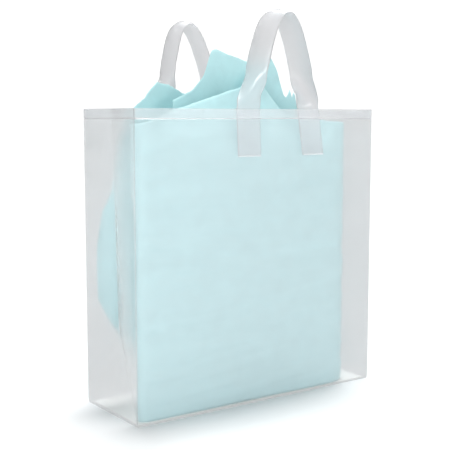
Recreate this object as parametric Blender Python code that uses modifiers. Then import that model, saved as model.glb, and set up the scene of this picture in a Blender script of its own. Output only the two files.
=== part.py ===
"""Gusseted carrier bag of frosted film, with two soft loop handles and tissue paper in it.

Metres, +Z up.  The origin is at the middle of the bag's base, on the surface it stands on.
The front panel faces -Y and the width runs along X.
"""

import math

import bmesh
import bpy
from mathutils import Matrix, Vector

# Driving dimensions of the bag.
BAG_WIDTH = 0.406
BAG_DEPTH = 0.137
BAG_HEIGHT = 0.412
FILM = 0.0002                 # thickness of the film
GAP = 0.0003                  # clearance between pieces that touch
HEM = 0.014                   # depth of the edge that is turned inside
GUSSET_TOP_TUCK = 0.004       # how far the side crease stands in from the side, at the rim
GUSSET_APEX_TUCK = 0.011      # the same, at the top of the base triangle
GUSSET_APEX = 0.125           # height of the base triangle's top

# Board that keeps the base flat.
BOARD_THICKNESS = 0.0012
BOARD_MARGIN = 0.004

# Handles: a strap of flattened film tube, welded inside a panel at both ends.
STRAP_WIDTH = 0.0395
STRAP_THICKNESS = 0.0005
WELD_SPACING = 0.1135         # centre to centre of the two welded ends
HANDLE_OFFSET = 0.0347        # middle of the welds from the panel's middle, to the panel's right
WELD_DEPTH = 0.065            # how far below the rim the strap ends
STRAP_STEPS = 60              # lengthwise
STRAP_COLUMNS = 6             # across
STEM_SHARE = 0.30             # share of each half of the strap's run that lies below the rim
LEG_CURL = 1.12               # half angle that the strap curls across, just above the rim
ARCH_CURL = 0.50              # the same, in the arch
FLAT_CURL = 0.01              # the same, where the strap lies flat on the panel
TURN_RISE = (0.004, 0.050)    # heights above the rim between which a strap turns sideways,
CURL_RISE = (0.002, 0.022)    # between which it curls up,
CURL_EASE = (0.024, 0.060)    # and between which it opens again

# Tissue paper.
TISSUE = 0.0006               # thickness of a soft double sheet
TISSUE_CELL = 0.024
TORN_CELL = 0.003             # width of the cells of a sheet whose top edge is torn to points
SHEET_FOOT = 0.003            # height of the sheets' lower edges
SHEET_HEIGHT = 0.42           # height by which the sheets' lean is reckoned

PARTS_NAME = "carrier_bag"


def clear_scene():
    for obj in list(bpy.data.objects):
        bpy.data.objects.remove(obj, do_unlink=True)


def make_collection(name):
    collection = bpy.data.collections.new(name)
    bpy.context.scene.collection.children.link(collection)
    return collection


def make_material(name, colour, roughness, alpha=1.0):
    material = bpy.data.materials.new(name)
    material.use_nodes = True
    shader = material.node_tree.nodes["Principled BSDF"]
    shader.inputs["Base Color"].default_value = (*colour, 1.0)
    shader.inputs["Roughness"].default_value = roughness
    shader.inputs["Metallic"].default_value = 0.0
    shader.inputs["Alpha"].default_value = alpha
    material.diffuse_color = (*colour, alpha)
    return material


def smooth_step(value, start, end):
    """0 before start, 1 after end, and an S-curve between them."""
    t = min(max((value - start) / (end - start), 0.0), 1.0)
    return t * t * (3.0 - 2.0 * t)


def blend(a, b, t):
    return a + (b - a) * t


def add_mesh(name, bm, material, collection, thickness, offset):
    """Make an object of an open surface, and give it its thickness with Solidify."""
    bmesh.ops.recalc_face_normals(bm, faces=bm.faces)
    mesh = bpy.data.meshes.new(name)
    bm.to_mesh(mesh)
    bm.free()
    obj = bpy.data.objects.new(name, mesh)
    obj.data.materials.append(material)
    collection.objects.link(obj)
    solid = obj.modifiers.new("thickness", "SOLIDIFY")
    solid.thickness = thickness
    solid.offset = offset
    solid.use_even_offset = True
    mesh.shade_smooth()
    mesh.set_sharp_from_angle(angle=math.radians(35.0))
    return obj


# ---- bag body ---------------------------------------------------------------------------

def gusset_tuck(z):
    """How far the side crease is drawn in at a height."""
    if z <= GUSSET_APEX:
        return GUSSET_APEX_TUCK * z / GUSSET_APEX
    t = (z - GUSSET_APEX) / (BAG_HEIGHT - GUSSET_APEX)
    return blend(GUSSET_APEX_TUCK, GUSSET_TOP_TUCK, t)


def cut_sides(bm, point, normal, top):
    """Cut the side panels below a height along a plane."""
    sides = [face for face in bm.faces
             if abs(face.normal.x) > 0.9 and face.calc_center_median().z < top]
    edges = {edge for face in sides for edge in face.edges}
    verts = {vert for face in sides for vert in face.verts}
    bmesh.ops.bisect_plane(bm, geom=[*verts, *edges, *sides], dist=1e-6,
                           plane_co=point, plane_no=normal)


def turned_in(vert, distance):
    """Where a point of the rim goes when it is moved in from both the panels it lies on."""
    inward_x = -math.copysign(distance, vert.co.x)
    if abs(vert.co.y) < 1e-6:
        return vert.co + Vector((inward_x, 0.0, 0.0))
    return vert.co + Vector((inward_x, -math.copysign(distance, vert.co.y), 0.0))


def make_bag_body(material, collection):
    bm = bmesh.new()
    bmesh.ops.create_cube(bm, size=1.0)
    bmesh.ops.scale(bm, vec=(BAG_WIDTH, BAG_DEPTH, BAG_HEIGHT), verts=bm.verts)
    bmesh.ops.translate(bm, vec=(0.0, 0.0, BAG_HEIGHT / 2), verts=bm.verts)
    top = [face for face in bm.faces if face.normal.z > 0.9]
    bmesh.ops.delete(bm, geom=top, context="FACES_ONLY")

    # Fold lines of the gussets: the middle crease, and the two sides of the base triangle.
    cut_sides(bm, (0, 0, GUSSET_APEX), (0, 0, 1), BAG_HEIGHT)
    cut_sides(bm, (0, 0, 0), (0, 1, 0), BAG_HEIGHT)
    for side in (-1, 1):
        half = side * BAG_DEPTH / 2
        cut_sides(bm, (0, half, 0), (0, GUSSET_APEX, half), GUSSET_APEX)
    for vert in bm.verts:
        if abs(vert.co.y) < 1e-6:
            vert.co.x -= math.copysign(gusset_tuck(vert.co.z), vert.co.x)

    # The rim is turned over to the inside, and hangs down as a second layer.
    rim = [edge for edge in bm.edges if edge.is_boundary]
    for drop, inset in ((0.0, 2 * FILM + GAP), (HEM, 0.0)):
        moved = bmesh.ops.extrude_edge_only(bm, edges=rim)["geom"]
        for vert in (item for item in moved if isinstance(item, bmesh.types.BMVert)):
            vert.co = turned_in(vert, inset) - Vector((0.0, 0.0, drop))
        rim = [item for item in moved
               if isinstance(item, bmesh.types.BMEdge) and item.is_boundary]
    return add_mesh("bag_body", bm, material, collection, FILM, -1.0)


# ---- base board -------------------------------------------------------------------------

def make_base_board(material, collection):
    bm = bmesh.new()
    bmesh.ops.create_cube(bm, size=1.0)
    size = (BAG_WIDTH - 2 * BOARD_MARGIN, BAG_DEPTH - 2 * BOARD_MARGIN, BOARD_THICKNESS)
    bmesh.ops.scale(bm, vec=size, verts=bm.verts)
    mesh = bpy.data.meshes.new("base_board")
    bm.to_mesh(mesh)
    bm.free()
    board = bpy.data.objects.new("base_board", mesh)
    board.data.materials.append(material)
    board.location.z = FILM + GAP + BOARD_THICKNESS / 2
    collection.objects.link(board)
    return board


# ---- handles ----------------------------------------------------------------------------

class HandleForm:
    """How a handle stands: where its legs leave the rim, and where its arch is.

    x runs along the panel from the panel's middle, and heights are above the rim.
    """

    def __init__(self, rim_left, rim_right, top_x, top_rise, turn_degrees, lean):
        self.rim_left = rim_left
        self.rim_right = rim_right
        self.top_x = top_x
        self.top_rise = top_rise
        self.turn = math.radians(turn_degrees)
        self.lean = lean


FRONT_FORM = HandleForm(-0.0250, 0.0807, 0.0250, 0.1330, 72.0, 0.002)
REAR_FORM = HandleForm(-0.0150, 0.0830, 0.0410, 0.1245, 86.0, 0.002)
LEG_REACH = 0.060             # how far the legs run on upwards before the arch bends them
LEG_TILT = 0.24               # sideways run of a leg for each metre of rise
ARCH_REACH = 0.024            # the same at the arch's top, sideways


def bezier(a, b, c, d, t):
    """Point at t on a cubic Bezier curve."""
    s = 1.0 - t
    return s ** 3 * a + 3 * s * s * t * b + 3 * s * t * t * c + t ** 3 * d


def strap_line(form, t):
    """Middle line of a strap in the panel's plane, from the left weld at 0 to the right at 1."""
    foot = BAG_HEIGHT - WELD_DEPTH
    top = Vector((form.top_x, BAG_HEIGHT + form.top_rise))
    side = -1 if t < 0.5 else 1
    rim = Vector((form.rim_left if side < 0 else form.rim_right, BAG_HEIGHT))
    weld = Vector((HANDLE_OFFSET + side * WELD_SPACING / 2, foot))
    share = 1.0 - abs(t - 0.5) * 2.0
    if share < STEM_SHARE:
        return weld.lerp(rim, share / STEM_SHARE)
    rise = Vector((-side * LEG_TILT * LEG_REACH, LEG_REACH))
    reach = Vector((side * ARCH_REACH, 0.0))
    return bezier(rim, rim + rise, top + reach, top, (share - STEM_SHARE) / (1.0 - STEM_SHARE))


def strap_curl(z):
    """Half angle of the arc that the strap's width is curled to at a height."""
    above = z - BAG_HEIGHT
    rising = smooth_step(above, *CURL_RISE)
    easing = smooth_step(above, *CURL_EASE)
    return max(FLAT_CURL, rising * blend(LEG_CURL, ARCH_CURL, easing))


def make_handle(name, form, material, collection):
    """A strap on the front panel."""
    bm = bmesh.new()
    bmesh.ops.create_grid(bm, x_segments=STRAP_STEPS, y_segments=STRAP_COLUMNS, size=0.5)
    plane_y = -BAG_DEPTH / 2 + 2 * FILM + 2 * GAP + FILM + STRAP_THICKNESS / 2
    for vert in bm.verts:
        t = vert.co.x + 0.5
        here = strap_line(form, t)
        step = strap_line(form, min(t + 0.002, 1.0)) - strap_line(form, max(t - 0.002, 0.0))
        along = Vector((step.x, 0.0, step.y)).normalized()
        z = here.y
        turn = form.turn * smooth_step(z - BAG_HEIGHT, *TURN_RISE)
        side = Vector((math.cos(turn), -math.sin(turn), 0.0))
        outward = side.cross(along).normalized()
        curl = strap_curl(z)
        angle = vert.co.y * 2.0 * curl
        radius = STRAP_WIDTH / (2.0 * curl)
        dip = radius * (math.cos(angle) - 0.5 * (1.0 + math.cos(curl)))
        out = form.lean * smooth_step(z, BAG_HEIGHT, BAG_HEIGHT + form.top_rise)
        middle = Vector((here.x, plane_y - out, z))
        vert.co = middle + side * radius * math.sin(angle) + outward * dip
    return add_mesh(name, bm, material, collection, STRAP_THICKNESS, 0.0)


def face_backwards(obj):
    """Turn an object round the bag's upright middle line, onto the rear panel."""
    obj.data.transform(Matrix.Rotation(math.pi, 4, "Z"))


# ---- tissue paper -----------------------------------------------------------------------

# Top edges of the sheets, as (x, height) with straight runs between the points.
FRONT_TOP = ((-0.194, 0.392), (-0.150, 0.404), (-0.080, 0.424), (0.000, 0.446), (0.022, 0.450),
             (0.040, 0.425), (0.060, 0.402), (0.100, 0.398), (0.178, 0.392))
MIDDLE_TOP = ((-0.100, 0.424), (-0.070, 0.438), (-0.052, 0.457), (-0.036, 0.494),
              (-0.028, 0.496), (0.030, 0.478), (0.045, 0.440), (0.100, 0.380))
RIGHT_TOP = ((0.010, 0.450), (0.050, 0.486), (0.060, 0.488), (0.072, 0.470), (0.084, 0.432),
             (0.0895, 0.428), (0.0935, 0.447), (0.0965, 0.430), (0.100, 0.428), (0.1025, 0.446),
             (0.107, 0.420), (0.112, 0.400), (0.140, 0.360))
REAR_TOP = ((-0.195, 0.225), (-0.188, 0.271), (-0.176, 0.305), (-0.168, 0.360), (-0.150, 0.414),
            (-0.137, 0.423), (-0.112, 0.449), (-0.086, 0.444), (-0.050, 0.428), (0.060, 0.400),
            (0.150, 0.385))

# Lower edges: the rear sheet is cut away towards its left end.
LEVEL_FOOT = ((0.0, SHEET_FOOT),)
REAR_FOOT = ((-0.195, 0.150), (-0.175, 0.110), (-0.150, 0.085), (-0.120, 0.040),
             (-0.095, SHEET_FOOT))

# The front sheet's line in plan, with both its ends turned back along the gussets.
WRAP_LEFT = -0.194            # x of its left return
WRAP_RIGHT = 0.178            # x of its right return
WRAP_FRONT = -0.0645          # y of its run along the front panel
WRAP_LEFT_RADIUS = 0.012
WRAP_LEFT_RETURN = 0.012      # length of the left return, near the sheet's top
WRAP_RIGHT_RADIUS = 0.045
WRAP_RIGHT_RETURN = 0.050
RETURN_RISE = (0.28, 0.34)    # heights between which the left return grows from nothing
FRONT_LEAN = 0.030            # how far the front sheet's middle leans back at the top,
LEAN_RISE = (0.340, 0.450)    # between these heights,
LEAN_LEFT = (-0.180, -0.130)  # growing from the left
LEAN_RIGHT = (0.120, 0.170)   # and dying away to the right

# Ways in which the other sheets stand: y at the foot and at the top, and size of their waves.
MIDDLE_STAND = (0.006, 0.004, 0.0030)
RIGHT_STAND = (-0.010, -0.008, 0.0025)
REAR_STAND = (0.048, 0.032, 0.0040)
WAVES_ACROSS = 2.0            # waves across a sheet
WAVE_DRIFT = 0.4              # waves by which they move sideways from foot to top
CORNER_SPAN = (-0.195, -0.165)  # x between which the rear sheet's end bends
CORNER_BEND = 0.010             # back towards the rear left corner

# Flat sizes of the sheets.
FRONT_SIZE = (0.48, 0.42)
MIDDLE_SIZE = (0.20, 0.46)
RIGHT_SIZE = (0.13, 0.44)
REAR_SIZE = (0.345, 0.42)


def outline_height(outline, x):
    """Height at x of an edge given by its corners."""
    if x <= outline[0][0]:
        return outline[0][1]
    for (x0, z0), (x1, z1) in zip(outline, outline[1:]):
        if x <= x1:
            return blend(z0, z1, (x - x0) / (x1 - x0))
    return outline[-1][1]


def wrap_point(u, left_return):
    """Point in plan at u along the front sheet: forwards, along the front, and back again."""
    left_arc = math.pi / 2 * WRAP_LEFT_RADIUS
    right_arc = math.pi / 2 * WRAP_RIGHT_RADIUS
    straight = WRAP_RIGHT - WRAP_LEFT - WRAP_LEFT_RADIUS - WRAP_RIGHT_RADIUS
    run = u * (left_return + left_arc + straight + right_arc + WRAP_RIGHT_RETURN)
    if run < left_return:
        return Vector((WRAP_LEFT, WRAP_FRONT + WRAP_LEFT_RADIUS + left_return - run))
    run -= left_return
    if run < left_arc:
        angle = run / WRAP_LEFT_RADIUS
        centre = Vector((WRAP_LEFT + WRAP_LEFT_RADIUS, WRAP_FRONT + WRAP_LEFT_RADIUS))
        return centre - WRAP_LEFT_RADIUS * Vector((math.cos(angle), math.sin(angle)))
    run -= left_arc
    if run < straight:
        return Vector((WRAP_LEFT + WRAP_LEFT_RADIUS + run, WRAP_FRONT))
    run -= straight
    centre = Vector((WRAP_RIGHT - WRAP_RIGHT_RADIUS, WRAP_FRONT + WRAP_RIGHT_RADIUS))
    if run < right_arc:
        angle = run / WRAP_RIGHT_RADIUS
        return centre + WRAP_RIGHT_RADIUS * Vector((math.sin(angle), -math.cos(angle)))
    return Vector((WRAP_RIGHT, centre.y + run - right_arc))


def front_sheet(u, v):
    """The sheet behind the front panel, with its ends turned back along the gussets."""
    left_return = WRAP_LEFT_RETURN * smooth_step(v * SHEET_HEIGHT, *RETURN_RISE)
    plan = wrap_point(u, left_return)
    z = blend(SHEET_FOOT, outline_height(FRONT_TOP, plan.x), v)
    middle = smooth_step(plan.x, *LEAN_LEFT) * (1.0 - smooth_step(plan.x, *LEAN_RIGHT))
    lean = FRONT_LEAN * smooth_step(z, *LEAN_RISE) * middle
    return Vector((plan.x, plan.y + lean, z))


def flat_sheet(outline, foot, stand):
    """A sheet that stands across the bag, with soft upright waves in it."""
    foot_y, top_y, wave = stand
    left = outline[0][0]
    right = outline[-1][0]

    def place(u, v):
        x = blend(left, right, u)
        z = blend(outline_height(foot, x), outline_height(outline, x), v)
        turn = 2.0 * math.pi * (WAVES_ACROSS * u + WAVE_DRIFT * v)
        y = blend(foot_y, top_y, z / SHEET_HEIGHT) + wave * math.sin(turn)
        corner = CORNER_BEND * (1.0 - smooth_step(x, *CORNER_SPAN))
        return Vector((x, y + corner, z))

    return place


def make_sheet(name, size, place, material, collection, cell_width=TISSUE_CELL):
    """A standing sheet; place(u, v) gives the point at u across and v up, both 0 to 1."""
    bm = bmesh.new()
    columns = round(size[0] / cell_width)
    rows = round(size[1] / TISSUE_CELL)
    bmesh.ops.create_grid(bm, x_segments=columns, y_segments=rows, size=0.5)
    for vert in bm.verts:
        vert.co = place(vert.co.x + 0.5, vert.co.y + 0.5)
    return add_mesh(name, bm, material, collection, TISSUE, 0.0)


def main():
    clear_scene()
    parts = make_collection(PARTS_NAME)

    film = make_material("frosted_film", (0.86, 0.90, 0.92), 0.45, 0.5)
    strap = make_material("strap_film", (0.90, 0.91, 0.93), 0.40, 0.8)
    board = make_material("white_board", (0.85, 0.84, 0.80), 0.85)
    paper = make_material("aqua_tissue", (0.62, 0.88, 0.90), 0.75, 0.9)

    make_bag_body(film, parts)
    make_base_board(board, parts)
    make_handle("front_handle", FRONT_FORM, strap, parts)
    rear = make_handle("rear_handle", REAR_FORM, strap, parts)
    face_backwards(rear)

    middle_sheet = flat_sheet(MIDDLE_TOP, LEVEL_FOOT, MIDDLE_STAND)
    right_sheet = flat_sheet(RIGHT_TOP, LEVEL_FOOT, RIGHT_STAND)
    rear_sheet = flat_sheet(REAR_TOP, REAR_FOOT, REAR_STAND)
    make_sheet("tissue_front", FRONT_SIZE, front_sheet, paper, parts)
    make_sheet("tissue_middle", MIDDLE_SIZE, middle_sheet, paper, parts)
    make_sheet("tissue_right", RIGHT_SIZE, right_sheet, paper, parts, TORN_CELL)
    make_sheet("tissue_rear", REAR_SIZE, rear_sheet, paper, parts)


main()
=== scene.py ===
"""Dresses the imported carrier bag: frosted film, milky straps, crumpled tissue, a card base and a
pale studio.  Lengths are in metres.  The front panel faces -Y and the bag stands on z = 0.
"""

import math

import bmesh
import bpy
from bpy.props import FloatProperty, FloatVectorProperty, IntProperty, PointerProperty
from mathutils import Matrix, Vector, noise


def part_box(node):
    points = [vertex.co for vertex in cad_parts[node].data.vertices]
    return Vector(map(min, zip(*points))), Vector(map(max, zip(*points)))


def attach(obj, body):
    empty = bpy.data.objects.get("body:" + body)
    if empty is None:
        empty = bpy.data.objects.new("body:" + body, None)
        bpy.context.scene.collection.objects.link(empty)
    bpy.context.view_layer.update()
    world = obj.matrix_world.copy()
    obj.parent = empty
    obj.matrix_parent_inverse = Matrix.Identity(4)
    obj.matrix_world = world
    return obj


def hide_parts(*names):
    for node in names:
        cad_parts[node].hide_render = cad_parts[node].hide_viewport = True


bl_info = {
    "name": "Frosted carrier bag",
    "version": (1, 0, 0),
    "blender": (4, 5, 0),
    "location": "3D View > Sidebar > Carrier Bag",
    "description": "Builds the film, straps, tissue and stage of a frosted carrier bag",
    "category": "Add Mesh",
}

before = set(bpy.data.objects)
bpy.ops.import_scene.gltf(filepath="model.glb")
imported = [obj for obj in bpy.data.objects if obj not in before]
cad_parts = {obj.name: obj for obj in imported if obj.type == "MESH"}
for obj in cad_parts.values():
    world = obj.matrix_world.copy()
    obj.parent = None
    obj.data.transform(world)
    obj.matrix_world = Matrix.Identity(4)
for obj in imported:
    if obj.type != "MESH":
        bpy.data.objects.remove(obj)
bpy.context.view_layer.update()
BODY = "root"

# The bag's own box gives the sizes that everything else is placed by.
BAG_LOW, BAG_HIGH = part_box("bag_body")
HALF_WIDTH = BAG_HIGH.x
HALF_DEPTH = BAG_HIGH.y
RIM = BAG_HIGH.z

# Film: the same folds as the bag body.
HEM = 0.014                   # depth of the turned-in edge
HEM_INSET = 0.0007            # how far the second layer stands in from the first
TOP_TUCK = 0.004              # how far the side crease stands in, at the rim
APEX_TUCK = 0.011             # the same, at the top of the base triangle
APEX = 0.125                  # height of the base triangle's top

# Straps: the same line, turn and curl as the two handles.
STRAP_WIDTH = 0.0395
WELD_SPACING = 0.1135
HANDLE_OFFSET = 0.0347
WELD_DEPTH = 0.065
STRAP_INSET = 0.00145         # middle of the strap, in from the panel's outer face
LEG_CURL = 1.12
ARCH_CURL = 0.50
LEG_REACH = 0.060
LEG_TILT = 0.24
ARCH_REACH = 0.024

# Tissue: top edges of the sheets, as (x, height).
SHEET_FOOT = 0.003
SHEET_HEIGHT = 0.42
FRONT_TOP = ((-0.194, 0.392), (-0.150, 0.404), (-0.080, 0.424), (0.000, 0.446), (0.022, 0.450),
             (0.040, 0.425), (0.060, 0.402), (0.100, 0.398), (0.178, 0.392))
MIDDLE_TOP = ((-0.100, 0.424), (-0.070, 0.438), (-0.052, 0.457), (-0.036, 0.494),
              (-0.028, 0.496), (0.030, 0.478), (0.045, 0.440), (0.100, 0.380))
RIGHT_TOP = ((0.010, 0.450), (0.050, 0.486), (0.060, 0.488), (0.072, 0.470), (0.084, 0.432),
             (0.0895, 0.428), (0.0935, 0.447), (0.0965, 0.430), (0.100, 0.428), (0.1025, 0.446),
             (0.107, 0.420), (0.112, 0.400), (0.140, 0.360))
REAR_TOP = ((-0.195, 0.225), (-0.188, 0.271), (-0.176, 0.305), (-0.168, 0.360), (-0.150, 0.414),
            (-0.137, 0.423), (-0.112, 0.449), (-0.086, 0.444), (-0.050, 0.428), (0.060, 0.400),
            (0.150, 0.385))
LEVEL_FOOT = ((0.0, SHEET_FOOT),)
REAR_FOOT = ((-0.195, 0.150), (-0.175, 0.110), (-0.150, 0.085), (-0.120, 0.040),
             (-0.095, SHEET_FOOT))
WRAP_LEFT = -0.194
WRAP_RIGHT = 0.178
WRAP_FRONT = -0.0645
WRAP_LEFT_RADIUS = 0.012
WRAP_LEFT_RETURN = 0.012
WRAP_RIGHT_RADIUS = 0.045
WRAP_RIGHT_RETURN = 0.050
RETURN_RISE = (0.28, 0.34)    # heights between which the left return grows from nothing
FRONT_LEAN = 0.030
LEAN_RISE = (0.340, 0.450)
LEAN_LEFT = (-0.180, -0.130)
LEAN_RIGHT = (0.120, 0.170)
MIDDLE_STAND = (0.006, 0.004, 0.0030)
RIGHT_STAND = (-0.010, -0.008, 0.0025)
REAR_STAND = (0.048, 0.032, 0.0040)
WAVES_ACROSS = 2.0
WAVE_DRIFT = 0.4
CORNER_SPAN = (-0.195, -0.165)
CORNER_BEND = 0.010


# ---- settings ---------------------------------------------------------------------------

class FilmSettings(bpy.types.PropertyGroup):
    thickness: FloatProperty(
        name="Thickness", description="Thickness of the bag's film",
        default=0.00014, min=0.00005, max=0.0004, unit="LENGTH", precision=5)
    bulge: FloatProperty(
        name="Bulge", description="How far the panels are pushed out by what is in the bag",
        default=0.0018, min=0.0, max=0.008, unit="LENGTH", precision=4)
    ripple: FloatProperty(
        name="Ripple", description="Height of the soft waves in the film",
        default=0.0011, min=0.0, max=0.004, unit="LENGTH", precision=4)
    colour: FloatVectorProperty(
        name="Colour", description="Colour of the frosted film",
        default=(0.965, 0.972, 0.98), subtype="COLOR", size=3, min=0.0, max=1.0)
    frost: FloatProperty(
        name="Frost", description="Roughness that blurs what stands behind the film",
        default=0.26, min=0.0, max=1.0, subtype="FACTOR")
    milk: FloatProperty(
        name="Milk", description="Share of the light that the film scatters and doesn't let through",
        default=0.10, min=0.0, max=1.0, subtype="FACTOR")


class StrapSettings(bpy.types.PropertyGroup):
    frost: FloatProperty(
        name="Frost", description="Roughness of the strap film",
        default=0.50, min=0.0, max=1.0, subtype="FACTOR")
    milk: FloatProperty(
        name="Milk", description="Share of the light that the strap scatters and doesn't let through",
        default=0.17, min=0.0, max=1.0, subtype="FACTOR")
    thickness: FloatProperty(
        name="Thickness", description="Thickness of the flattened strap",
        default=0.00045, min=0.0002, max=0.001, unit="LENGTH", precision=5)
    steps: IntProperty(
        name="Steps", description="Faces along each strap", default=160, min=40, max=400)
    colour: FloatVectorProperty(
        name="Colour", description="Colour of the milky strap film",
        default=(0.875, 0.88, 0.892), subtype="COLOR", size=3, min=0.0, max=1.0)


class TissueSettings(bpy.types.PropertyGroup):
    cell: FloatProperty(
        name="Cell", description="Size of the tissue's mesh faces",
        default=0.0035, min=0.001, max=0.02, unit="LENGTH", precision=4)
    thickness: FloatProperty(
        name="Thickness", description="Thickness of a soft double sheet",
        default=0.0002, min=0.00005, max=0.001, unit="LENGTH", precision=5)
    crumple: FloatProperty(
        name="Crumple", description="Height of the creases in the tissue",
        default=0.0022, min=0.0, max=0.01, unit="LENGTH", precision=4)
    colour: FloatVectorProperty(
        name="Colour", description="Colour of the tissue paper",
        default=(0.655, 0.925, 0.95), subtype="COLOR", size=3, min=0.0, max=1.0)


class StudioSettings(bpy.types.PropertyGroup):
    fill: FloatProperty(
        name="Fill", description="Strength of the even light from all round",
        default=0.45, min=0.0, max=4.0)
    backdrop: FloatProperty(
        name="Backdrop", description="Brightness of the backdrop that shows through the film",
        default=0.66, min=0.0, max=4.0)
    key: FloatProperty(
        name="Key", description="Power of the softbox on the upper left, in watts",
        default=5.5, min=0.0, max=100.0, unit="POWER")
    glint: FloatProperty(
        name="Glint", description="Power of the small softbox that the film's ripples mirror",
        default=5.0, min=0.0, max=100.0, unit="POWER")
    top: FloatProperty(
        name="Top", description="Strength of the soft light above and behind",
        default=2.3, min=0.0, max=20.0)
    lens: FloatProperty(
        name="Lens", description="Focal length of the camera on a 36 mm sensor, in millimetres",
        default=74.2, min=20.0, max=200.0)


# ---- small tools ------------------------------------------------------------------------

def blend(a, b, t):
    return a + (b - a) * t


def smooth_step(value, start, end):
    """0 before start, 1 after end, and an S-curve between them."""
    t = min(max((value - start) / (end - start), 0.0), 1.0)
    return t * t * (3.0 - 2.0 * t)


def bezier(a, b, c, d, t):
    """Point at t on a cubic Bezier curve."""
    s = 1.0 - t
    return s ** 3 * a + 3 * s * s * t * b + 3 * s * t * t * c + t ** 3 * d


def steps_between(start, end, count):
    """count + 1 evenly spaced numbers."""
    return [blend(start, end, i / count) for i in range(count + 1)]


def add_piece(name, bm, material, thickness=0.0, offset=0.0, sharp=math.radians(50.0)):
    """Make a shown piece of a surface; Solidify gives it its thickness."""
    bmesh.ops.recalc_face_normals(bm, faces=bm.faces)
    mesh = bpy.data.meshes.new(name)
    bm.to_mesh(mesh)
    bm.free()
    mesh.shade_smooth()
    mesh.set_sharp_from_angle(angle=sharp)
    piece = bpy.data.objects.new(name, mesh)
    bpy.context.scene.collection.objects.link(piece)
    piece.data.materials.append(material)
    if thickness:
        solid = piece.modifiers.new("thickness", "SOLIDIFY")
        solid.thickness = thickness
        solid.offset = offset
        solid.use_even_offset = True
    return piece


def grid_surface(columns, rows, place):
    """A sheet of faces whose corners are place(u, v), with u and v from 0 to 1."""
    bm = bmesh.new()
    bmesh.ops.create_grid(bm, x_segments=columns, y_segments=rows, size=0.5)
    for vert in bm.verts:
        vert.co = place(vert.co.x + 0.5, vert.co.y + 0.5)
    return bm


# ---- materials --------------------------------------------------------------------------

class Nodes:
    """Places nodes in a tree and links them, so that a material reads from top to bottom."""

    def __init__(self, tree):
        self.tree = tree
        tree.nodes.clear()

    def add(self, kind, **values):
        node = self.tree.nodes.new(kind)
        for name, value in values.items():
            setattr(node, name, value)
        return node

    def link(self, source, target):
        self.tree.links.new(source, target)

    def fill(self, node, **values):
        """Set input sockets by name, with _ for a space."""
        for name, value in values.items():
            node.inputs[name.replace("_", " ")].default_value = value
        return node


def new_group(name, inputs, outputs):
    """A shader node group with named float inputs and typed outputs."""
    group = bpy.data.node_groups.new(name, "ShaderNodeTree")
    for label, value in inputs.items():
        socket = group.interface.new_socket(label, in_out="INPUT", socket_type="NodeSocketFloat")
        socket.default_value = value
    for label, kind in outputs.items():
        group.interface.new_socket(label, in_out="OUTPUT", socket_type=kind)
    return group


def film_grain_group():
    """Frosted grain, drawn lines and soft clouding of blown film, for the bag and its straps."""
    name = "film_grain"
    if name in bpy.data.node_groups:
        return bpy.data.node_groups[name]
    group = new_group(name, {"Grain Scale": 1800.0, "Line Scale": 260.0, "Cloud Scale": 14.0},
                      {"Height": "NodeSocketFloat", "Cloud": "NodeSocketFloat"})
    n = Nodes(group)
    entry = n.add("NodeGroupInput")
    leave = n.add("NodeGroupOutput")
    place = n.add("ShaderNodeTexCoord")
    grain = n.fill(n.add("ShaderNodeTexNoise"), Detail=3.0, Roughness=0.6)
    n.link(place.outputs["Object"], grain.inputs["Vector"])
    n.link(entry.outputs["Grain Scale"], grain.inputs["Scale"])
    stretch = n.add("ShaderNodeMapping")
    stretch.inputs["Scale"].default_value = (1.0, 1.0, 0.02)
    lines = n.fill(n.add("ShaderNodeTexNoise"), Detail=2.0, Roughness=0.5)
    n.link(place.outputs["Object"], stretch.inputs["Vector"])
    n.link(stretch.outputs["Vector"], lines.inputs["Vector"])
    n.link(entry.outputs["Line Scale"], lines.inputs["Scale"])
    lying = n.add("ShaderNodeMapping")
    lying.inputs["Scale"].default_value = (0.35, 0.35, 2.2)
    cloud = n.fill(n.add("ShaderNodeTexNoise"), Detail=4.0, Roughness=0.55, Distortion=0.4)
    n.link(place.outputs["Object"], lying.inputs["Vector"])
    n.link(lying.outputs["Vector"], cloud.inputs["Vector"])
    n.link(entry.outputs["Cloud Scale"], cloud.inputs["Scale"])
    total = n.add("ShaderNodeMath", operation="MULTIPLY_ADD")
    total.inputs[1].default_value = 0.35
    n.link(lines.outputs["Fac"], total.inputs[0])
    n.link(grain.outputs["Fac"], total.inputs[2])
    n.link(total.outputs[0], leave.inputs["Height"])
    n.link(cloud.outputs["Fac"], leave.inputs["Cloud"])
    return group


def paper_fibre_group():
    """Fibres and cockle of thin paper and card, for the tissue and the base board."""
    name = "paper_fibre"
    if name in bpy.data.node_groups:
        return bpy.data.node_groups[name]
    group = new_group(name, {"Fibre Scale": 900.0, "Cockle Scale": 60.0},
                      {"Height": "NodeSocketFloat", "Shade": "NodeSocketFloat"})
    n = Nodes(group)
    entry = n.add("NodeGroupInput")
    leave = n.add("NodeGroupOutput")
    place = n.add("ShaderNodeTexCoord")
    fibre = n.fill(n.add("ShaderNodeTexNoise"), Detail=4.0, Roughness=0.7, Distortion=1.5)
    n.link(place.outputs["Object"], fibre.inputs["Vector"])
    n.link(entry.outputs["Fibre Scale"], fibre.inputs["Scale"])
    cockle = n.fill(n.add("ShaderNodeTexNoise"), Detail=5.0, Roughness=0.55, Distortion=0.6)
    n.link(place.outputs["Object"], cockle.inputs["Vector"])
    n.link(entry.outputs["Cockle Scale"], cockle.inputs["Scale"])
    total = n.add("ShaderNodeMath", operation="MULTIPLY_ADD")
    total.inputs[1].default_value = 0.12
    n.link(fibre.outputs["Fac"], total.inputs[0])
    n.link(cockle.outputs["Fac"], total.inputs[2])
    n.link(total.outputs[0], leave.inputs["Height"])
    n.link(cockle.outputs["Fac"], leave.inputs["Shade"])
    return group


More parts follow.
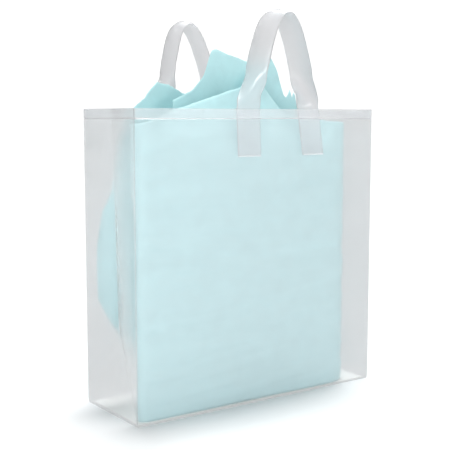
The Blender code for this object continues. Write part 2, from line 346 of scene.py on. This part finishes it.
def place_group(n, group, **values):
    node = n.add("ShaderNodeGroup")
    node.node_tree = group
    return n.fill(node, **values)


def two_tone(n, factor, dark, light):
    """A colour that runs from dark to light with a 0 to 1 factor."""
    mix = n.add("ShaderNodeMix", data_type="RGBA")
    mix.inputs["A"].default_value = (*dark, 1.0)
    mix.inputs["B"].default_value = (*light, 1.0)
    n.link(factor, mix.inputs["Factor"])
    return mix.outputs["Result"]


def bump(n, height, distance, strength):
    node = n.fill(n.add("ShaderNodeBump"), Distance=distance, Strength=strength)
    n.link(height, node.inputs["Height"])
    return node.outputs["Normal"]


def shade(colour, factor):
    return tuple(min(1.0, channel * factor) for channel in colour)


def frosted_material(name, settings, grain_scales, ior):
    """Frosted film: rough glass that blurs what is behind it, and lets the lamps through."""
    material = bpy.data.materials.new(name)
    material.use_nodes = True
    n = Nodes(material.node_tree)
    grain = place_group(n, film_grain_group(), **grain_scales)
    film = n.fill(n.add("ShaderNodeBsdfPrincipled"), IOR=ior, Metallic=0.0)
    film.inputs["Roughness"].default_value = settings.frost
    film.inputs["Transmission Weight"].default_value = 1.0 - settings.milk
    film.inputs["Coat Weight"].default_value = 0.6
    film.inputs["Coat Roughness"].default_value = 0.20
    tone = two_tone(n, grain.outputs["Cloud"], shade(settings.colour, 0.965), settings.colour)
    normal = bump(n, grain.outputs["Height"], 0.00004, 0.35)
    n.link(tone, film.inputs["Base Color"])
    n.link(normal, film.inputs["Normal"])
    clear = n.add("ShaderNodeBsdfTransparent")
    clear.inputs["Color"].default_value = (*shade(settings.colour, 0.95), 1.0)
    rays = n.add("ShaderNodeLightPath")
    either = n.add("ShaderNodeMath", operation="MAXIMUM")
    n.link(rays.outputs["Is Shadow Ray"], either.inputs[0])
    n.link(rays.outputs["Is Diffuse Ray"], either.inputs[1])
    mix = n.add("ShaderNodeMixShader")
    n.link(either.outputs[0], mix.inputs["Fac"])
    n.link(film.outputs["BSDF"], mix.inputs[1])
    n.link(clear.outputs["BSDF"], mix.inputs[2])
    out = n.add("ShaderNodeOutputMaterial")
    n.link(mix.outputs["Shader"], out.inputs["Surface"])
    return material


BAG_GRAIN = {"Grain_Scale": 1500.0, "Line_Scale": 180.0, "Cloud_Scale": 11.0}
STRAP_GRAIN = {"Grain_Scale": 2200.0, "Line_Scale": 500.0, "Cloud_Scale": 40.0}


def tissue_material(settings):
    """Thin aqua tissue: matt, a little mottled, and glowing where light comes through it."""
    material = bpy.data.materials.new("aqua_tissue")
    material.use_nodes = True
    n = Nodes(material.node_tree)
    fibre = place_group(n, paper_fibre_group(), Fibre_Scale=1100.0, Cockle_Scale=45.0)
    paper = n.fill(n.add("ShaderNodeBsdfPrincipled"), Roughness=0.78, Metallic=0.0, IOR=1.4)
    tone = two_tone(n, fibre.outputs["Shade"], shade(settings.colour, 0.90),
                    shade(settings.colour, 1.06))
    normal = bump(n, fibre.outputs["Height"], 0.0006, 0.35)
    n.link(tone, paper.inputs["Base Color"])
    n.link(normal, paper.inputs["Normal"])
    through = n.add("ShaderNodeBsdfTranslucent")
    n.link(tone, through.inputs["Color"])
    n.link(normal, through.inputs["Normal"])
    mix = n.add("ShaderNodeMixShader")
    mix.inputs["Fac"].default_value = 0.28
    n.link(paper.outputs["BSDF"], mix.inputs[1])
    n.link(through.outputs["BSDF"], mix.inputs[2])
    out = n.add("ShaderNodeOutputMaterial")
    n.link(mix.outputs["Shader"], out.inputs["Surface"])
    return material


def board_material():
    """White uncoated card."""
    material = bpy.data.materials.new("white_board")
    material.use_nodes = True
    n = Nodes(material.node_tree)
    fibre = place_group(n, paper_fibre_group(), Fibre_Scale=600.0, Cockle_Scale=120.0)
    card = n.fill(n.add("ShaderNodeBsdfPrincipled"), Roughness=0.86, Metallic=0.0, IOR=1.4)
    n.link(two_tone(n, fibre.outputs["Shade"], (0.76, 0.75, 0.72), (0.86, 0.85, 0.83)),
           card.inputs["Base Color"])
    n.link(bump(n, fibre.outputs["Height"], 0.0002, 0.4), card.inputs["Normal"])
    out = n.add("ShaderNodeOutputMaterial")
    n.link(card.outputs["BSDF"], out.inputs["Surface"])
    return material


def floor_material(backdrop):
    """Plain pale floor; through the film it is as bright as the backdrop."""
    material = bpy.data.materials.new("pale_floor")
    material.use_nodes = True
    n = Nodes(material.node_tree)
    floor = n.fill(n.add("ShaderNodeBsdfPrincipled"), Roughness=0.9, Metallic=0.0)
    floor.inputs["Base Color"].default_value = (0.92, 0.92, 0.92, 1.0)
    through = n.fill(n.add("ShaderNodeEmission"), Strength=backdrop)
    rays = n.add("ShaderNodeLightPath")
    mix = n.add("ShaderNodeMixShader")
    n.link(rays.outputs["Is Transmission Ray"], mix.inputs["Fac"])
    n.link(floor.outputs["BSDF"], mix.inputs[1])
    n.link(through.outputs["Emission"], mix.inputs[2])
    out = n.add("ShaderNodeOutputMaterial")
    n.link(mix.outputs["Shader"], out.inputs["Surface"])
    return material


# ---- film bag ---------------------------------------------------------------------------

GUSSET_CELLS = 24             # faces across half a gusset, and rows up the base triangle
PANEL_CELLS = 84              # faces across a panel
UPPER_ROWS = 54
BEAD = 0.0009                 # how far a pressed edge stands out
BEAD_WIDTH = 0.0018


def crease_tuck(z):
    """How far the side crease is drawn in at a height."""
    if z <= APEX:
        return APEX_TUCK * z / APEX
    return blend(APEX_TUCK, TOP_TUCK, (z - APEX) / (RIM - APEX))


class Station:
    """An upright line in the film: which panel it is on, and its share of the way across."""

    def __init__(self, panel, share):
        self.panel = panel
        self.share = share


def panel_shares():
    """Shares across a front or rear panel, closer together beside the pressed edges."""
    near = [0.0, BEAD_WIDTH / (2 * HALF_WIDTH), 2.2 * BEAD_WIDTH / (2 * HALF_WIDTH)]
    inner = steps_between(0.014, 0.986, PANEL_CELLS - 4)
    return near[:-1] + [near[-1]] + inner + [1.0 - near[2], 1.0 - near[1]]


def film_stations():
    """The stations round the bag from the front left edge, anticlockwise seen from above."""
    halves = [i / GUSSET_CELLS for i in range(GUSSET_CELLS)]
    stations = [Station("front", share) for share in panel_shares()]
    stations += [Station("right_front", share) for share in halves]
    stations += [Station("right_rear", share) for share in halves]
    stations += [Station("rear", share) for share in panel_shares()]
    stations += [Station("left_rear", share) for share in halves]
    stations += [Station("left_front", share) for share in halves]
    return stations


def gusset_x(share_in, z):
    """How far a gusset's film stands in from the side; share_in is 0 at the edge, 1 at the crease."""
    tuck = crease_tuck(z)
    share_in = share_in ** 1.6
    if z < APEX:
        fold = max(z / APEX, 1e-6)
        return tuck * min(share_in / fold ** 1.6, 1.0)
    return tuck * share_in


# Short lying dents in the film: panel, share across, height, half length and depth.
DENTS = (("front", 0.085, 0.238, 0.022, 0.0016), ("front", 0.070, 0.127, 0.014, 0.0015),
         ("front", 0.545, 0.392, 0.009, 0.0012), ("front", 0.66, 0.205, 0.030, 0.0007),
         ("front", 0.40, 0.085, 0.060, 0.0009), ("rear", 0.06, 0.240, 0.016, 0.0012),
         ("rear", 0.93, 0.150, 0.014, 0.0011))


def film_ripple(panel, share, z, settings):
    """Height of the film above its flat panel: bulge, soft waves and a few short dents."""
    seeds = {"front": 3.1, "rear": 17.7, "left_front": 31.3, "left_rear": 43.9,
             "right_front": 57.1, "right_rear": 71.5}
    wide = panel in ("front", "rear")
    width = 2 * HALF_WIDTH if wide else HALF_DEPTH
    edge = min(share, 1.0 - share) * width
    calm = smooth_step(edge, 0.0, 0.020 if wide else 0.012)
    calm *= smooth_step(z, 0.0, 0.020) * (1.0 - 0.55 * smooth_step(z, RIM - 0.05, RIM))
    place = Vector((share * width, seeds[panel], z))
    broad = noise.noise(place * 11.0) * settings.ripple
    lying = Vector((place.x * 9.0, place.y, (place.z - 0.12 * place.x) * 38.0))
    short = noise.noise(lying) * settings.ripple * 0.6
    height = math.sin(math.pi * share) * math.sin(math.pi * min(z / RIM * 0.9 + 0.05, 1.0))
    swell = settings.bulge * (height if wide else 0.5 * height)
    total = swell + broad + short
    for name, across, up, length, depth in DENTS:
        if name == panel:
            dx = (share - across) * width / length
            dz = (z - up + 0.15 * (share - across) * width) / 0.0035
            if abs(dx) < 3.0 and abs(dz) < 5.0:
                total -= depth * math.exp(-dx * dx) * (1.0 - dz) * math.exp(-dz * dz * 0.5)
    return total * calm


def film_point(station, z, settings):
    """A point of the film, and the direction into the bag there."""
    panel, share = station.panel, station.share
    side = 1.0 if panel.startswith("right") else -1.0
    swell = film_ripple(panel, share, z, settings)
    pressed = smooth_step(z, 0.0, 0.006) * BEAD
    if panel in ("front", "rear"):
        turn = -1.0 if panel == "front" else 1.0
        x = -turn * blend(-HALF_WIDTH, HALF_WIDTH, share)
        point = Vector((x, turn * (HALF_DEPTH + swell), z))
        inward = Vector((0.0, -turn, 0.0))
        if share == 0.0:
            corner = Vector((-turn * -1.0, turn, 0.0))
            point += corner * pressed
            inward = -corner
        return point, inward
    near_front = panel.endswith("front")
    going_back = panel in ("right_front", "left_rear")
    from_edge = share if panel in ("right_front", "left_rear") else 1.0 - share
    front_side = -1.0 if near_front else 1.0
    y = front_side * HALF_DEPTH * (1.0 - from_edge)
    x = side * (HALF_WIDTH - gusset_x(from_edge, z) + swell)
    point = Vector((x, y, z))
    inward = Vector((-side, 0.0, 0.0))
    if going_back and share == 0.0:
        corner = Vector((side, front_side, 0.0))
        point += corner * pressed
        inward = -corner
    return point, inward


def film_heights():
    """Rows up the outside, as heights."""
    lower = steps_between(0.0, APEX, GUSSET_CELLS)
    upper = steps_between(APEX, RIM - HEM, UPPER_ROWS)[1:]
    hem = steps_between(RIM - HEM, RIM, 4)[1:]
    return lower + upper + hem


def film_surface(settings):
    """The bag as one sheet: base, panels and gussets, and the hem turned down inside."""
    bm = bmesh.new()
    stations = film_stations()
    heights = film_heights()
    rings = []
    for z in heights:
        rings.append([bm.verts.new(film_point(s, z, settings)[0]) for s in stations])
    for drop in steps_between(0.0, HEM, 4):
        ring = []
        for s in stations:
            point, inward = film_point(s, RIM - drop, settings)
            ring.append(bm.verts.new(point + inward * HEM_INSET))
        rings.append(ring)
    count = len(stations)
    for row, (lower, upper) in enumerate(zip(rings, rings[1:])):
        for i, station in enumerate(stations):
            j = (i + 1) % count
            corners = [lower[i], lower[j], upper[j], upper[i]]
            fold = fold_corner(station, row)
            if fold is None:
                bm.faces.new(corners)
            else:
                bm.faces.new([corners[k] for k in fold[0]])
                bm.faces.new([corners[k] for k in fold[1]])
    add_base(bm, rings[0], stations)
    return bm


def fold_corner(station, row):
    """How to split a face that the base triangle's fold crosses, or None."""
    if station.panel in ("front", "rear") or row >= GUSSET_CELLS:
        return None
    column = round(station.share * GUSSET_CELLS)
    rising = station.panel in ("right_front", "left_rear")
    if rising and column == row:
        return (0, 1, 2), (0, 2, 3)
    if not rising and GUSSET_CELLS - 1 - column == row:
        return (0, 1, 3), (1, 2, 3)
    return None


def add_base(bm, ring, stations):
    """Close the bottom with a grid between the lowest edges of the four sides."""
    across = len(panel_shares())
    deep = 2 * GUSSET_CELLS
    front = ring[:across + 1]
    right = ring[across:across + deep + 1]
    rear = list(reversed(ring[across + deep:2 * across + deep + 1]))
    left = list(reversed(ring[2 * across + deep:] + ring[:1]))
    rows = [front]
    for j in range(1, deep):
        row = [left[j]]
        for i in range(1, across):
            row.append(bm.verts.new((front[i].co.x, left[j].co.y, 0.0)))
        rows.append(row + [right[j]])
    rows.append(rear)
    for lower, upper in zip(rows, rows[1:]):
        for i in range(across):
            bm.faces.new([lower[i], upper[i], upper[i + 1], lower[i + 1]])


# ---- straps -----------------------------------------------------------------------------

class HandleForm:
    """How a handle stands; x runs along the panel from its middle, rises are above the rim."""

    def __init__(self, rim_left, rim_right, top_x, top_rise, turn_degrees, lean):
        self.rim_left = rim_left
        self.rim_right = rim_right
        self.top_x = top_x
        self.top_rise = top_rise
        self.turn = math.radians(turn_degrees)
        self.lean = lean


FRONT_FORM = HandleForm(-0.0250, 0.0807, 0.0250, 0.1330, 72.0, 0.002)
REAR_FORM = HandleForm(-0.0150, 0.0830, 0.0410, 0.1245, 86.0, 0.002)


def strap_line(form, t):
    """Middle line of a strap in the panel's plane, from the left weld at 0 to the right at 1."""
    top = Vector((form.top_x, RIM + form.top_rise))
    side = -1 if t < 0.5 else 1
    rim = Vector((form.rim_left if side < 0 else form.rim_right, RIM))
    weld = Vector((HANDLE_OFFSET + side * WELD_SPACING / 2, RIM - WELD_DEPTH))
    share = 1.0 - abs(t - 0.5) * 2.0
    leg_share = 0.30
    if share < leg_share:
        return weld.lerp(rim, share / leg_share)
    rise = Vector((-side * LEG_TILT * LEG_REACH, LEG_REACH))
    reach = Vector((side * ARCH_REACH, 0.0))
    return bezier(rim, rim + rise, top + reach, top, (share - leg_share) / (1.0 - leg_share))


def strap_curl(z):
    """Half angle of the arc that the strap's width is curled to at a height."""
    above = z - RIM
    rising = smooth_step(above, 0.002, 0.022)
    settling = smooth_step(above, 0.024, 0.060)
    return max(0.01, rising * blend(LEG_CURL, ARCH_CURL, settling))


def strap_point(form, u, v):
    here = strap_line(form, u)
    step = strap_line(form, min(u + 0.002, 1.0)) - strap_line(form, max(u - 0.002, 0.0))
    along = Vector((step.x, 0.0, step.y)).normalized()
    z = here.y
    turn = form.turn * smooth_step(z, RIM + 0.004, RIM + 0.050)
    side = Vector((math.cos(turn), -math.sin(turn), 0.0))
    outward = side.cross(along).normalized()
    curl = strap_curl(z)
    angle = (v - 0.5) * 2.0 * curl
    radius = STRAP_WIDTH / (2.0 * curl)
    dip = radius * (math.cos(angle) - 0.5 * (1.0 + math.cos(curl)))
    free = smooth_step(z, RIM + 0.005, RIM + 0.040)
    ripple = 0.0006 * free * noise.noise(Vector((u * 30.0, v * 3.0, form.top_x * 100.0)))
    out = form.lean * smooth_step(z, RIM, RIM + form.top_rise)
    middle = Vector((here.x, STRAP_INSET - HALF_DEPTH - out, z))
    return middle + side * radius * math.sin(angle) + outward * (dip + ripple)


def build_strap(name, form, settings, material, node, rear):
    bm = grid_surface(settings.steps, 14, lambda u, v: strap_point(form, u, v))
    if rear:
        bmesh.ops.rotate(bm, verts=bm.verts, cent=(0, 0, 0), matrix=Matrix.Rotation(math.pi, 3, "Z"))
    strap = add_piece(name, bm, material, settings.thickness, 0.0)
    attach(strap, BODY)
    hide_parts(node)
    return strap


# ---- tissue -----------------------------------------------------------------------------

def outline_height(outline, x):
    """Height at x of an edge given by its corners."""
    if x <= outline[0][0]:
        return outline[0][1]
    for (x0, z0), (x1, z1) in zip(outline, outline[1:]):
        if x <= x1:
            return blend(z0, z1, (x - x0) / (x1 - x0))
    return outline[-1][1]


def wrap_point(u, left_return):
    """Point in plan at u along the front sheet: forwards, along the front, and back again."""
    left_arc = math.pi / 2 * WRAP_LEFT_RADIUS
    right_arc = math.pi / 2 * WRAP_RIGHT_RADIUS
    straight = WRAP_RIGHT - WRAP_LEFT - WRAP_LEFT_RADIUS - WRAP_RIGHT_RADIUS
    run = u * (left_return + left_arc + straight + right_arc + WRAP_RIGHT_RETURN)
    if run < left_return:
        return Vector((WRAP_LEFT, WRAP_FRONT + WRAP_LEFT_RADIUS + left_return - run))
    run -= left_return
    if run < left_arc:
        angle = run / WRAP_LEFT_RADIUS
        centre = Vector((WRAP_LEFT + WRAP_LEFT_RADIUS, WRAP_FRONT + WRAP_LEFT_RADIUS))
        return centre - WRAP_LEFT_RADIUS * Vector((math.cos(angle), math.sin(angle)))
    run -= left_arc
    if run < straight:
        return Vector((WRAP_LEFT + WRAP_LEFT_RADIUS + run, WRAP_FRONT))
    run -= straight
    centre = Vector((WRAP_RIGHT - WRAP_RIGHT_RADIUS, WRAP_FRONT + WRAP_RIGHT_RADIUS))
    if run < right_arc:
        angle = run / WRAP_RIGHT_RADIUS
        return centre + WRAP_RIGHT_RADIUS * Vector((math.sin(angle), -math.cos(angle)))
    return Vector((WRAP_RIGHT, centre.y + run - right_arc))


def crumple(x, z, seed, flatness=1.0):
    """Creases of a sheet that was crushed and smoothed; flatness stretches them sideways."""
    x = x / flatness
    bend = noise.noise(Vector((x * 9.0, z * 9.0, seed)))
    total = 0.0
    for k in range(5):
        angle = seed * 1.7 + k * 2.4
        length = 0.070 * 0.72 ** k
        across = (x * math.cos(angle) + z * math.sin(angle)) / length + bend * 1.3 + k * 0.37
        wave = abs((across % 2.0) - 1.0) - 0.5
        total += wave * length / 0.070
    return total * 0.6


def ragged(x, seed, size):
    """Small tears and dips in a sheet's top edge."""
    broad = noise.noise(Vector((x * 70.0, seed, 0.0)))
    fine = noise.noise(Vector((x * 260.0, seed, 5.0)))
    return size * (broad + 0.6 * fine)


def front_relief(x, z):
    """Folds of the front sheet towards the panel (positive), in metres."""
    slant = (z - 0.255) - 0.88 * (x + 0.010)
    beyond = 1.0 - smooth_step(slant, -0.006, 0.006)
    patch = beyond * smooth_step(x, -0.050, 0.010) * (1.0 - smooth_step(x, 0.115, 0.150))
    relief = 0.0024 * patch * smooth_step(z, 0.05, 0.20)
    streak = noise.noise(Vector((x * 5.0, 2.7, (z - 0.10 * x) * 42.0)))
    fine = noise.noise(Vector((x * 12.0, 9.1, (z - 0.06 * x) * 95.0)))
    lower = 1.0 - 0.6 * smooth_step(z, 0.20, 0.33)
    relief += (0.0034 * streak + 0.0014 * fine) * lower
    ledge = (z - 0.082) - 0.16 * (x + 0.120)
    relief += 0.0022 * math.exp(-(ledge / 0.007) ** 2) * smooth_step(x, -0.17, -0.12) \
        * (1.0 - smooth_step(x, 0.02, 0.08))
    return relief


def front_sheet(u, v, settings):
    """The sheet behind the front panel, with its ends turned back along the gussets."""
    left_return = WRAP_LEFT_RETURN * smooth_step(v * SHEET_HEIGHT, *RETURN_RISE)
    plan = wrap_point(u, left_return)
    middle = smooth_step(plan.x, *LEAN_LEFT) * (1.0 - smooth_step(plan.x, *LEAN_RIGHT))
    top = outline_height(FRONT_TOP, plan.x) + middle * ragged(plan.x, 1.0, 0.0016)
    z = blend(SHEET_FOOT, top, v)
    lean = FRONT_LEAN * smooth_step(z, *LEAN_RISE) * middle
    crease = crumple(u * 0.46, z, 2.0, 1.6) * settings.crumple * 0.45
    inside = smooth_step(plan.y, WRAP_FRONT + 0.004, WRAP_FRONT + 0.03)
    relief = front_relief(plan.x, z) * (1.0 - inside)
    push = Vector((-math.copysign(1.0, plan.x) * inside, 1.0 - inside, 0.0))
    return Vector((plan.x, plan.y + lean, z)) + push * (crease + 0.0006 - relief)


def flat_sheet(outline, foot, stand, seed, rag, settings):
    """A sheet that stands across the bag, with soft upright waves in it."""
    foot_y, top_y, wave = stand
    left = outline[0][0]
    right = outline[-1][0]

    def place(u, v):
        x = blend(left, right, u)
        top = outline_height(outline, x) + ragged(x, seed, rag)
        z = blend(outline_height(foot, x), top, v)
        turn = 2.0 * math.pi * (WAVES_ACROSS * u + WAVE_DRIFT * v)
        y = blend(foot_y, top_y, z / SHEET_HEIGHT) + wave * math.sin(turn)
        corner = CORNER_BEND * (1.0 - smooth_step(x, *CORNER_SPAN))
        return Vector((x, y + corner + crumple(x, z, seed) * settings.crumple, z))

    return place


def build_sheet(name, size, place, settings, material, node):
    columns = round(size[0] / settings.cell)
    rows = round(size[1] / settings.cell)
    bm = grid_surface(columns, rows, place)
    sheet = add_piece(name, bm, material, settings.thickness, 0.0, math.radians(180.0))
    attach(sheet, BODY)
    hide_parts(node)
    return sheet


# ---- operators --------------------------------------------------------------------------

class BAG_OT_film(bpy.types.Operator):
    """Build the frosted film body with its gussets, base and turned-in hem"""
    bl_idname = "carrier_bag.film"
    bl_label = "Film Body"

    def execute(self, context):
        settings = context.scene.bag_film
        body = add_piece("film_body", film_surface(settings), frosted_material("frosted_film", settings, BAG_GRAIN, 1.30),
                         settings.thickness, -1.0, math.radians(28.0))
        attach(body, BODY)
        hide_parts("bag_body")
        return {"FINISHED"}


class BAG_OT_board(bpy.types.Operator):
    """Give the base board its card finish"""
    bl_idname = "carrier_bag.board"
    bl_label = "Base Board"

    def execute(self, context):
        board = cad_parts["base_board"]
        board.data.materials.clear()
        board.data.materials.append(board_material())
        return {"FINISHED"}


class BAG_OT_straps(bpy.types.Operator):
    """Build the two soft loop handles"""
    bl_idname = "carrier_bag.straps"
    bl_label = "Strap Handles"

    def execute(self, context):
        settings = context.scene.bag_straps
        material = frosted_material("milky_strap", settings, STRAP_GRAIN, 1.40)
        build_strap("front_strap", FRONT_FORM, settings, material, "front_handle", False)
        build_strap("rear_strap", REAR_FORM, settings, material, "rear_handle", True)
        return {"FINISHED"}


class BAG_OT_tissue(bpy.types.Operator):
    """Build the sheets of tissue paper that stand in the bag"""
    bl_idname = "carrier_bag.tissue"
    bl_label = "Tissue Paper"

    def execute(self, context):
        settings = context.scene.bag_tissue
        material = tissue_material(settings)
        build_sheet("front_tissue", (0.48, 0.42),
                    lambda u, v: front_sheet(u, v, settings), settings, material, "tissue_front")
        build_sheet("middle_tissue", (0.20, 0.46),
                    flat_sheet(MIDDLE_TOP, LEVEL_FOOT, MIDDLE_STAND, 5.0, 0.0010, settings),
                    settings, material, "tissue_middle")
        build_sheet("right_tissue", (0.13, 0.44),
                    flat_sheet(RIGHT_TOP, LEVEL_FOOT, RIGHT_STAND, 8.0, 0.0012, settings),
                    settings, material, "tissue_right")
        build_sheet("rear_tissue", (0.345, 0.42),
                    flat_sheet(REAR_TOP, REAR_FOOT, REAR_STAND, 11.0, 0.0030, settings),
                    settings, material, "tissue_rear")
        return {"FINISHED"}


class BAG_OT_stage(bpy.types.Operator):
    """Set the pale floor, the soft lights and the camera"""
    bl_idname = "carrier_bag.stage"
    bl_label = "Stage"

    def execute(self, context):
        settings = context.scene.bag_studio
        bm = bmesh.new()
        bmesh.ops.create_grid(bm, x_segments=8, y_segments=8, size=12.0)
        floor = add_piece("floor", bm, floor_material(settings.backdrop))
        make_world(context.scene, settings)
        make_top_light(settings.top)
        make_softbox("key", KEY_PLACE, KEY_SIZE, settings.key, floor)
        make_softbox("glint", GLINT_PLACE, GLINT_SIZE, settings.glint, floor)
        make_camera(context.scene, settings)
        context.scene.view_settings.view_transform = "Standard"
        return {"FINISHED"}


def make_world(scene, settings):
    """A white cyclorama: full white to look at, and brighter on the upper left as light."""
    world = bpy.data.worlds.new("studio")
    scene.world = world
    world.use_nodes = True
    n = Nodes(world.node_tree)
    direction = n.add("ShaderNodeTexCoord")
    towards = n.add("ShaderNodeVectorMath", operation="DOT_PRODUCT")
    towards.inputs[1].default_value = FILL_SIDE
    n.link(direction.outputs["Generated"], towards.inputs[0])
    level = n.add("ShaderNodeMapRange")
    level.inputs["From Min"].default_value = -1.0
    level.inputs["From Max"].default_value = 1.0
    level.inputs["To Min"].default_value = settings.fill * 0.4
    level.inputs["To Max"].default_value = settings.fill * 1.6
    n.link(towards.outputs["Value"], level.inputs["Value"])
    seen = n.fill(n.add("ShaderNodeBackground"), Strength=1.1)
    through = n.fill(n.add("ShaderNodeBackground"), Strength=settings.backdrop)
    light = n.add("ShaderNodeBackground")
    n.link(level.outputs["Result"], light.inputs["Strength"])
    rays = n.add("ShaderNodeLightPath")
    first = n.add("ShaderNodeMixShader")
    n.link(rays.outputs["Is Transmission Ray"], first.inputs["Fac"])
    n.link(light.outputs["Background"], first.inputs[1])
    n.link(through.outputs["Background"], first.inputs[2])
    second = n.add("ShaderNodeMixShader")
    n.link(rays.outputs["Is Camera Ray"], second.inputs["Fac"])
    n.link(first.outputs["Shader"], second.inputs[1])
    n.link(seen.outputs["Background"], second.inputs[2])
    for node in (seen, through, light):
        node.inputs["Color"].default_value = (1.0, 1.0, 1.0, 1.0)
    out = n.add("ShaderNodeOutputWorld")
    n.link(second.outputs["Shader"], out.inputs["Surface"])


FILL_SIDE = (-0.62, -0.35, 0.70)      # where the fill is brightest


def place_light(lamp, place):
    """Put a lamp at a place, aimed at the middle of the bag; rays through film don't see it."""
    light = bpy.data.objects.new(lamp.name, lamp)
    light.location = place
    light.rotation_mode = "QUATERNION"
    light.rotation_quaternion = (AIM - light.location).to_track_quat("-Z", "Y")
    light.visible_transmission = False
    bpy.context.scene.collection.objects.link(light)
    return light


def make_top_light(strength):
    """A wide soft light from far above, a little behind, that draws the shadow forwards."""
    lamp = bpy.data.lights.new("top", "SUN")
    lamp.angle = TOP_WIDTH
    lamp.energy = strength
    place_light(lamp, TOP_PLACE)


def make_softbox(name, place, size, power, floor):
    """A square softbox that doesn't light the floor."""
    lamp = bpy.data.lights.new(name, "AREA")
    lamp.shape = "SQUARE"
    lamp.size = size
    lamp.energy = power
    light = place_light(lamp, place)
    unlit = bpy.data.collections.new("not lit by the " + name)
    unlit.objects.link(floor)
    light.light_linking.receiver_collection = unlit
    unlit.collection_objects[0].light_linking.link_state = "EXCLUDE"


AIM = Vector((0.0, 0.0, 0.22))
TOP_PLACE = (0.40, 0.32, 2.32)
TOP_WIDTH = math.radians(20.0)
KEY_PLACE = (-0.95, -0.85, 0.66)      # near the upper left of the front panel
KEY_SIZE = 0.40
GLINT_PLACE = (1.05, -1.45, 0.85)     # where the front panel nearly mirrors it to the camera
GLINT_SIZE = 0.26


CAMERA_AZIMUTH = math.radians(-35.29)
CAMERA_PITCH = math.radians(6.66)
CAMERA_PLACE = Vector((-1.902, -2.632, 0.974))   # in bag heights


def make_camera(scene, settings):
    camera = bpy.data.objects.new("camera", bpy.data.cameras.new("camera"))
    camera.data.sensor_width = 36.0
    camera.data.lens = settings.lens
    camera.location = CAMERA_PLACE * RIM
    level = math.cos(CAMERA_PITCH)
    look = Vector((-math.sin(CAMERA_AZIMUTH) * level, math.cos(CAMERA_AZIMUTH) * level,
                   -math.sin(CAMERA_PITCH)))
    camera.rotation_mode = "QUATERNION"
    camera.rotation_quaternion = look.to_track_quat("-Z", "Y")
    scene.collection.objects.link(camera)
    scene.camera = camera


class BAG_PT_panel(bpy.types.Panel):
    """Lists the settings and the steps that build the bag"""
    bl_idname = "BAG_PT_panel"
    bl_label = "Carrier Bag"
    bl_space_type = "VIEW_3D"
    bl_region_type = "UI"
    bl_category = "Carrier Bag"

    def draw(self, context):
        for group, operators in STEPS:
            box = self.layout.box()
            if group:
                settings = getattr(context.scene, group)
                for name in type(settings).__annotations__:
                    box.prop(settings, name)
            for operator in operators:
                box.operator(operator.bl_idname)


STEPS = (
    ("bag_film", (BAG_OT_film,)),
    ("", (BAG_OT_board,)),
    ("bag_straps", (BAG_OT_straps,)),
    ("bag_tissue", (BAG_OT_tissue,)),
    ("bag_studio", (BAG_OT_stage,)),
)
GROUPS = (
    ("bag_film", FilmSettings),
    ("bag_straps", StrapSettings),
    ("bag_tissue", TissueSettings),
    ("bag_studio", StudioSettings),
)
CLASSES = (FilmSettings, StrapSettings, TissueSettings, StudioSettings, BAG_OT_film,
           BAG_OT_board, BAG_OT_straps, BAG_OT_tissue, BAG_OT_stage, BAG_PT_panel)


def register():
    for cls in CLASSES:
        bpy.utils.register_class(cls)
    for name, group in GROUPS:
        setattr(bpy.types.Scene, name, PointerProperty(type=group))


def unregister():
    for name, _ in GROUPS:
        delattr(bpy.types.Scene, name)
    for cls in reversed(CLASSES):
        bpy.utils.unregister_class(cls)


def main():
    register()
    bpy.ops.carrier_bag.stage()
    bpy.ops.carrier_bag.film()
    bpy.ops.carrier_bag.board()
    bpy.ops.carrier_bag.straps()
    bpy.ops.carrier_bag.tissue()


if __name__ == "__main__":
    main()
